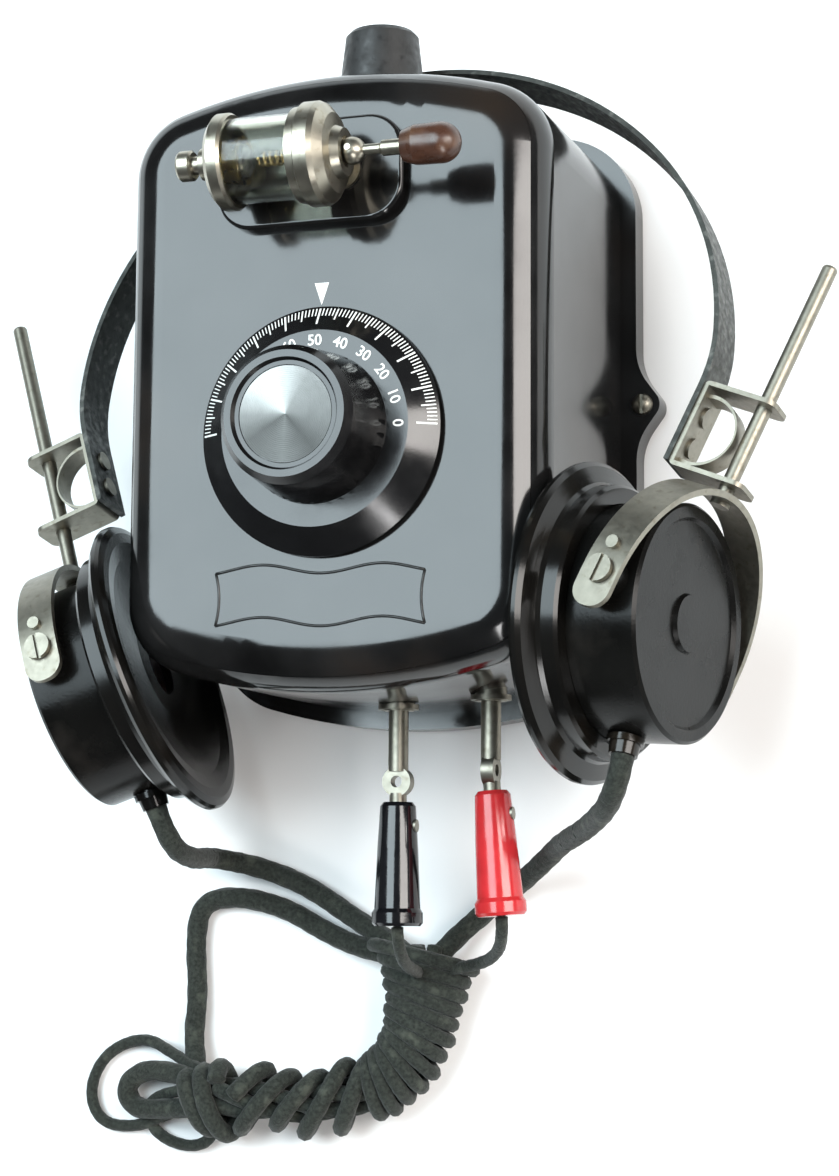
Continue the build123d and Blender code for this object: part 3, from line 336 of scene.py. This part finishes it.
def new_mesh(name, points, faces, finish, smooth=True):
    mesh = bpy.data.meshes.new(name)
    mesh.from_pydata([tuple(p) for p in points], [], faces)
    mesh.polygons.foreach_set("use_smooth", [smooth] * len(mesh.polygons))
    mesh.materials.append(finish)
    mesh.update()
    made = bpy.data.objects.new(name, mesh)
    bpy.context.scene.collection.objects.link(made)
    return made


def lengths(line):
    """The length of the line up to each of its points."""
    return np.concatenate([[0], np.cumsum(np.linalg.norm(np.diff(line, axis=0), axis=1))])


def even(line, step):
    """The same line with its points about one step apart."""
    along = lengths(line)
    count = max(2, int(round(along[-1] / step)))
    at = np.linspace(0, along[-1], count + 1)
    return np.stack([np.interp(at, along, line[:, i]) for i in range(3)], 1)


def spline_line(points, step=ROUTE_STEP):
    """The smooth line of a NURBS route with these control points in mm, as evenly spaced points in metres."""
    data = bpy.data.curves.new("route", "CURVE")
    data.dimensions = "3D"
    data.resolution_u = 24
    spline = data.splines.new("NURBS")
    spline.points.add(len(points) - 1)
    for place, point in zip(spline.points, points):
        place.co = (*(c * MM for c in point), 1)
    spline.order_u = 3
    spline.use_endpoint_u = True
    holder = bpy.data.objects.new("route", data)
    bpy.context.scene.collection.objects.link(holder)
    bpy.context.view_layer.update()
    mesh = bpy.data.meshes.new_from_object(holder)
    line = np.array([v.co for v in mesh.vertices])
    bpy.data.objects.remove(holder)
    bpy.data.meshes.remove(mesh)
    return even(line, step)


def frames(line):
    """A pair of normals at each point of the line, which turn as little as possible along it."""
    tangent = np.gradient(line, axis=0)
    tangent /= np.linalg.norm(tangent, axis=1)[:, None]
    first = np.cross(tangent[0], (0, 0, 1.0))
    if np.linalg.norm(first) < 0.1:
        first = np.cross(tangent[0], (0, 1.0, 0))
    normal = [first / np.linalg.norm(first)]
    for t in tangent[1:]:
        n = normal[-1] - t * (normal[-1] @ t)
        normal.append(n / np.linalg.norm(n))
    normal = np.array(normal)
    return normal, np.cross(tangent, normal)


def ring_angles(sides):
    return np.arange(sides) * (FULL_TURN / sides)


def tube(name, line, size, finish):
    """A closed tube along a line. Size has a row for each point of the line and a column for each side."""
    rings, sides = size.shape
    normal, across = frames(line)
    angle = ring_angles(sides)
    points = (
        line[:, None]
        + normal[:, None] * (np.cos(angle)[None, :, None] * size[..., None])
        + across[:, None] * (np.sin(angle)[None, :, None] * size[..., None])
    ).reshape(-1, 3)
    faces = []
    for ring in range(rings - 1):
        here, ahead = ring * sides, (ring + 1) * sides
        for k in range(sides):
            n = (k + 1) % sides
            faces.append((here + k, here + n, ahead + n, ahead + k))
    faces.append(tuple(reversed(range(sides))))
    faces.append(tuple((rings - 1) * sides + k for k in range(sides)))
    return new_mesh(name, points, faces, finish)


def braid_tube(name, line, radius, tucked=(True, True)):
    """A round braid along a line: crossing plaits stand proud of the tube. A tucked end draws in."""
    around = PLAITS * ring_angles(TUBE_SIDES)[None]
    turn = lengths(line)[:, None] * (FULL_TURN / (radius * PITCH_TO_RADIUS))
    relief = np.abs(np.sin((around + turn) / 2)) * np.abs(np.sin((around - turn) / 2))
    size = radius * (1 + RELIEF_DEPTH * (2 * relief - RELIEF_MEAN))
    if tucked[0]:
        size[0] *= END_SIZE
    if tucked[1]:
        size[-1] *= END_SIZE
    return tube(name, line, size, BRAID)


# ---------------------------------------------------------------- cords: radii and route points in mm
CORD_R, LEAD_R = 2.1, 1.2
KNOT_R, STRAND_R, WRAP_R, TURN_R = CORD_R - 0.2, 1.6, 1.45, 1.75

HANGING = {
    "left": [(-44.678, -80.231, 37.884), (-41.99, -87.73, 37.10), (-42.5, -90, 25), (-44.5, -89.5, 14)],
    "right": [(55.587, -72.466, 55.868), (54.66, -80.16, 57.86), (44.5, -84.5, 38), (34.5, -87, 22)],
}
LYING = {
    "left": [(-45.2, -89.3, 7.5), (-37, -91, 2.1), (-26, -95, 2.1), (-16, -101.5, 2.1), (-5.5, -107, 5),
             (0, -111, 6.6)],
    "right": [(30, -89, 14), (22, -93.5, 4.5), (13.5, -99.5, 2.1), (6, -106.5, 5), (2.5, -111, 6.6)],
}
# where the first two lengths of a receiver's cord end, the part beside the gland that doesn't bend, and how much
# of the last length bends before it lies still
FIRST_ENDS, SECOND_ENDS, HELD, BENDS = 31 * MM, 41 * MM, 6 * MM, 22 * MM

BUNDLE = [(1.5, -107, 6.6), (1.5, -119, 6.6), (-2, -131, 6.6), (-13, -138, 6.6), (-28, -139.5, 6.6),
          (-44, -138, 6.6)]
BLACK_LEAD = [(3.5, -103.2, 30), (3.5, -106.7, 29.7), (2.6, -111.5, 22), (1.5, -112.5, 10)]
RED_LEAD = [(24.7, -101.1, 30), (24.8, -104.2, 29.5), (21.5, -108.3, 21.5), (14.5, -110.8, 12), (6, -112, 9)]
TAIL = [(-3, -109.5, 5), (-13, -108, 3.5), (-22, -104.5, 2.1), (-31, -99.5, 2.1), (-42, -97, 2.1),
        (-50, -98.5, 2.1), (-51.5, -106, 2.1), (-50.5, -118, 2.1), (-51.5, -128, 2.6), (-48, -136, 6.5)]
BIG_LOOP = [(-43, -133.5, 8), (-47, -133.3, 7.5), (-55, -130, 4), (-63, -126.5, 1.2), (-72, -130, 1.2),
            (-76, -138, 1.2), (-73, -145, 1.2), (-64, -145.5, 1.2), (-56, -142, 3), (-47, -140.5, 7),
            (-43, -139, 8)]
SMALL_LOOP = [(-44, -141, 5), (-46, -147, 2.5), (-52, -149.5, 1.2), (-60, -147, 1.2), (-63, -141, 1.2),
              (-56, -137.5, 3.5), (-48, -137, 6)]
KNOT_RING = [(-46, -135, 7.5), (-55, -133.5, 6), (-62, -133.4, 4.5), (-66.6, -137, 3.2), (-64.6, -141.4, 3.0),
             (-58.5, -141.6, 4.0), (-48, -140.5, 7.0)]


def cup_cord(side):
    """One receiver's cord in three lengths: beside the receiver, across the fork and on the table."""
    line = spline_line(HANGING[side] + LYING[side])
    along = lengths(line)
    first = int(np.searchsorted(along, FIRST_ENDS))
    second = int(np.searchsorted(along, SECOND_ENDS))
    upper = braid_tube(f"cord_{side}_at_receiver", line[: first + 1], CORD_R * MM, tucked=(False, False))
    middle = braid_tube(f"cord_{side}_at_fork", line[first : second + 1], CORD_R * MM, tucked=(False, False))
    lower = braid_tube(f"cord_{side}_on_table", line[second:], CORD_R * MM, tucked=(False, True))
    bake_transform(upper)
    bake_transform(middle)
    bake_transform(lower)
    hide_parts(f"cord_{side}_exit")
    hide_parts(f"cord_{side}")


def case_cord(name, route, radius, node=None):
    """A cord that lies still with the case. A node is the plain CAD cord that it replaces."""
    line = spline_line(route)
    piece = braid_tube(name, line, radius * MM)
    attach(piece, "case")
    if node:
        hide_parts(node)


def around_bundle(turns, wide, high, start, stop, phase=0.0, lean=0.0):
    """Route points that wind around the bundle's own line between two shares of its length, on an oval section
    whose half width and half height are functions of the share. A lean slants each turn along the bundle."""
    points_per_turn = 12
    count = max(4, int(abs(turns) * points_per_turn))
    found = []
    for i in range(count + 1):
        share = start + (stop - start) * i / count
        angle = phase + FULL_TURN * turns * i / count
        at = share * bundle_along[-1] + lean * math.cos(angle) * wide(share) * MM
        at = min(max(at, 0.0), bundle_along[-1])
        centre, n, s = (np.array([np.interp(at, bundle_along, way[:, k]) for k in range(3)])
                        for way in (bundle_line, bundle_normal, bundle_side))
        offset = n * math.cos(angle) * wide(share) + s * math.sin(angle) * high(share)
        found.append(tuple(centre / MM + offset))
    return found


def strand_route(number):
    """One of four strands that lie inside the windings, with a slow twist."""
    half_width, half_height, turns, phase = 2.6, 2.3, 1.3, 0.4
    return around_bundle(turns, lambda share: half_width, lambda share: half_height, 0.0, 1.0,
                         phase=number * math.pi / 2 + phase)


def winding_width(share):
    """The tight winding flares where the cords gather, then settles and tapers."""
    settled, flare, flare_share, taper, uneven, ripples = 4.6, 5.6, 0.085, 2.2, 0.25, 61
    return settled + flare * math.exp(-share / flare_share) + taper * (1 - share) + uneven * math.sin(ripples * share)


def winding_height(share):
    mean, uneven, ripples = 4.9, 0.2, 37
    return mean + uneven * math.sin(ripples * share)


def loose_turn_width(share):
    mean, uneven, ripples = 5.6, 0.9, 23
    return mean + uneven * math.sin(ripples * share)


def loose_turn_height(share):
    return 4.5


def knot_route():
    """Two turns and a little more across the bundle's end, each further along and smaller than the last."""
    x, y, z = -41.5, -139.3, 6.6
    advance, sway, sway_phase = 3.6, 2.0, 0.4
    wide, wide_loss, high, high_loss = 7.2, 1.0, 4.4, 0.5
    route = []
    for turn in np.linspace(-0.15, 2.15, 29):
        angle = FULL_TURN * turn
        route.append((x - advance * turn - sway * math.cos(angle + sway_phase),
                      y + (wide - wide_loss * turn) * math.cos(angle),
                      z - (high - high_loss * turn) * math.sin(angle)))
    return route


bundle_line = spline_line(BUNDLE)
bundle_along = lengths(bundle_line)
bundle_normal, bundle_side = frames(bundle_line)

for side in ("left", "right"):
    cup_cord(side)
for number in range(4):
    case_cord(f"bundle_strand_{number + 1}", strand_route(number), STRAND_R,
              node="cord_bundle" if number == 0 else None)
case_cord("bundle_winding", around_bundle(-12, winding_width, winding_height, 0.02, 0.50, lean=-0.18), WRAP_R)
case_cord("bundle_loose_turns",
          around_bundle(-4.4, loose_turn_width, loose_turn_height, 0.49, 0.93, phase=1.0, lean=-0.62), TURN_R)
case_cord("knot_turns", knot_route(), KNOT_R)
case_cord("knot_ring", KNOT_RING, CORD_R)
case_cord("plug_lead_black", BLACK_LEAD, LEAD_R)
case_cord("plug_lead_red", RED_LEAD, LEAD_R, node="plug_leads")
case_cord("cord_loop_tail", TAIL, CORD_R, node="cord_loops")
case_cord("cord_loop_big", BIG_LOOP, LEAD_R)
case_cord("cord_loop_small", SMALL_LOOP, LEAD_R)

# ---------------------------------------------------------------- dial markings, in mm
DIAL_X, DIAL_Y, FACE_Z = 0.0, -11.5, 64.0
UNITS, SWEEP = 100, math.pi
BEVEL_INNER_R, BEVEL_TOP, BEVEL_SLOPE = 18.6, 4.8, 3.3 / 5.15
TICK_OUTER_R, TICK_SUNK, TICK_PROUD = 23.3, -0.10, 0.06
TEN_TICK, FIVE_TICK, UNIT_TICK = (19.9, 0.17), (20.9, 0.13), (21.7, 0.10)
NUMBER_R, NUMBER_HEIGHT, NUMBER_SIZE, NUMBER_DEPTH, NUMBER_WEIGHT = 16.55, 4.82, 2.9, 0.05, 0.03
POINTER, POINTER_LOW, POINTER_HIGH = [(-0.5, 12.95), (0.95, 17.2), (-1.95, 17.2)], 63.95, 64.08


def on_dial(radius, angle, height):
    return Vector((DIAL_X + radius * math.cos(angle), DIAL_Y + radius * math.sin(angle), FACE_Z + height)) * MM


def bevel_height(radius):
    return BEVEL_TOP - (radius - BEVEL_INNER_R) * BEVEL_SLOPE


def tick_size(unit):
    """A tick's inner radius and half width: longer and wider at five, and again at ten."""
    if unit % 10 == 0:
        return TEN_TICK
    return FIVE_TICK if unit % 5 == 0 else UNIT_TICK


def dial_ticks():
    """White ticks on the bevel: a hundred divisions over the upper half turn."""
    points, faces = [], []
    for unit in range(UNITS + 1):
        angle = SWEEP * unit / UNITS
        inner, half = tick_size(unit)
        across = Vector((-math.sin(angle), math.cos(angle), 0)) * half * MM
        a = len(points)
        for lift in (TICK_SUNK, TICK_PROUD):
            for radius in (inner, TICK_OUTER_R):
                middle = on_dial(radius, angle, bevel_height(radius) + lift)
                points += [middle - across, middle + across]
        faces += [(a + 4, a + 6, a + 7, a + 5), (a, a + 1, a + 3, a + 2), (a, a + 4, a + 5, a + 1),
                  (a + 2, a + 3, a + 7, a + 6), (a, a + 2, a + 6, a + 4), (a + 1, a + 5, a + 7, a + 3)]
    piece = new_mesh("dial_ticks", points, faces, WHITE, smooth=False)
    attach(piece, "tuner")


def number_mesh(value):
    """One numeral on the dial's flat ring, with its head outwards."""
    curve = bpy.data.curves.new(f"number_{value}", "FONT")
    curve.body = str(value)
    curve.size = NUMBER_SIZE * MM
    curve.extrude = NUMBER_DEPTH * MM
    curve.offset = NUMBER_WEIGHT * MM
    curve.align_x, curve.align_y = "CENTER", "CENTER"
    text = bpy.data.objects.new(f"number_{value}", curve)
    bpy.context.scene.collection.objects.link(text)
    angle = SWEEP * value / UNITS
    upright = Matrix.Rotation(angle - math.pi / 2, 4, "Z")
    text.matrix_world = Matrix.Translation(on_dial(NUMBER_R, angle, NUMBER_HEIGHT)) @ upright
    bpy.context.view_layer.update()
    mesh = bpy.data.meshes.new_from_object(text)
    mesh.transform(text.matrix_world)
    bpy.data.objects.remove(text)
    return mesh


def dial_numbers():
    """Numerals from 0 on the right to 100 on the left."""
    points, faces = [], []
    for value in range(0, UNITS + 1, 10):
        mesh = number_mesh(value)
        base = len(points)
        points += [v.co.copy() for v in mesh.vertices]
        faces += [tuple(base + i for i in p.vertices) for p in mesh.polygons]
        bpy.data.meshes.remove(mesh)
    piece = new_mesh("dial_numbers", points, faces, WHITE, smooth=False)
    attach(piece, "tuner")


def dial_pointer():
    """A white triangle in the casing's face, with its tip towards the scale."""
    count = len(POINTER)
    points = [Vector((x, y, z)) * MM for z in (POINTER_LOW, POINTER_HIGH) for x, y in POINTER]
    faces = [tuple(reversed(range(count))), tuple(range(count, 2 * count))]
    faces += [(i, (i + 1) % count, count + (i + 1) % count, count + i) for i in range(count)]
    piece = new_mesh("dial_pointer", points, faces, WHITE, smooth=False)
    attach(piece, "case")


dial_ticks()
dial_numbers()
dial_pointer()

# ---------------------------------------------------------------- ribbon below the dial, in mm
RIBBON_TOP, RIBBON_MIDDLE, RIBBON_BOTTOM = -37.3, -42.2, -47.2
RIBBON_LEFT, RIBBON_RIGHT, RIBBON_FOLD = -21.3, 20.4, 1.4
RIBBON_FALL, RIBBON_WAVE, RIBBON_HALF_WAVE = 0.02, 0.9, 12.0
LINE_R, LINE_SIDES, LINE_STEP = 0.28, 8, 1.2


def ribbon():
    """A plain wavy ribbon outline on the face below the dial, with folded ends and no lettering."""
    def wave(x, base):
        return base - RIBBON_FALL * x - RIBBON_WAVE * math.cos(x / RIBBON_HALF_WAVE * math.pi)

    edges = [[(x, wave(x, base), FACE_Z) for x in np.linspace(RIBBON_LEFT, RIBBON_RIGHT, 19)]
             for base in (RIBBON_TOP, RIBBON_BOTTOM)]
    ends = [[(x, wave(x, RIBBON_TOP), FACE_Z), (x + fold, wave(x, RIBBON_MIDDLE), FACE_Z),
             (x, wave(x, RIBBON_BOTTOM), FACE_Z)]
            for x, fold in ((RIBBON_LEFT, RIBBON_FOLD), (RIBBON_RIGHT, -RIBBON_FOLD))]
    for number, route in enumerate(edges + ends, 1):
        line = spline_line(route, step=LINE_STEP * MM)
        size = np.full((len(line), LINE_SIDES), LINE_R * MM)
        piece = tube(f"ribbon_line_{number}", line, size, ENGRAVED)
        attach(piece, "case")


ribbon()

# ---------------------------------------------------------------- floor
FLOOR_REACH, FLOOR_DROP = 4, 0.0005


def make_floor():
    r = FLOOR_REACH
    finish = material("pale_floor", (0.86, 0.86, 0.86), 0.8, spread=0.01, mottle=3, bump=0.0, specular=0.2)
    mesh = bpy.data.meshes.new("floor")
    mesh.from_pydata([(-r, -r, 0), (r, -r, 0), (r, r, 0), (-r, r, 0)], [], [(0, 1, 2, 3)])
    mesh.materials.append(finish)
    floor = bpy.data.objects.new("floor", mesh)
    floor.location.z = cad_low[2] - FLOOR_DROP
    bpy.context.scene.collection.objects.link(floor)


make_floor()
